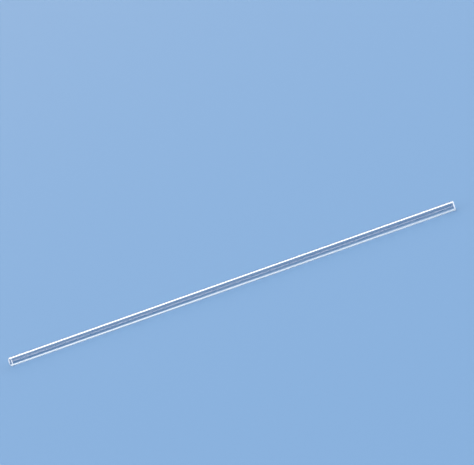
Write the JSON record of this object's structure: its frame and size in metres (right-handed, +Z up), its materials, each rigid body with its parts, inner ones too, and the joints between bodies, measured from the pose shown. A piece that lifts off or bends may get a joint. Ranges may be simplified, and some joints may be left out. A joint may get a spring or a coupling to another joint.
{
  "type": "glass capillary tube",
  "caption": "Long, thin, round tube of clear glass with a fine bore open at both heat-smoothed ends; it draws up, holds or carries a very small sample of liquid.",
  "frame": {"origin": "on the surface that the tube lies on, under the middle of its length", "axes": "+X along the tube, +Z up from the surface; the tube's axis is at half the outer diameter above the origin"},
  "size_m": [0.075, 0.0014, 0.0015],
  "materials": {
    "glass": "clear, colourless drawn glass, polished by the flame, with faint draw lines along its length"
  },
  "bodies": {
    "root": {"tube": "glass"}
  },
  "joints": []
}
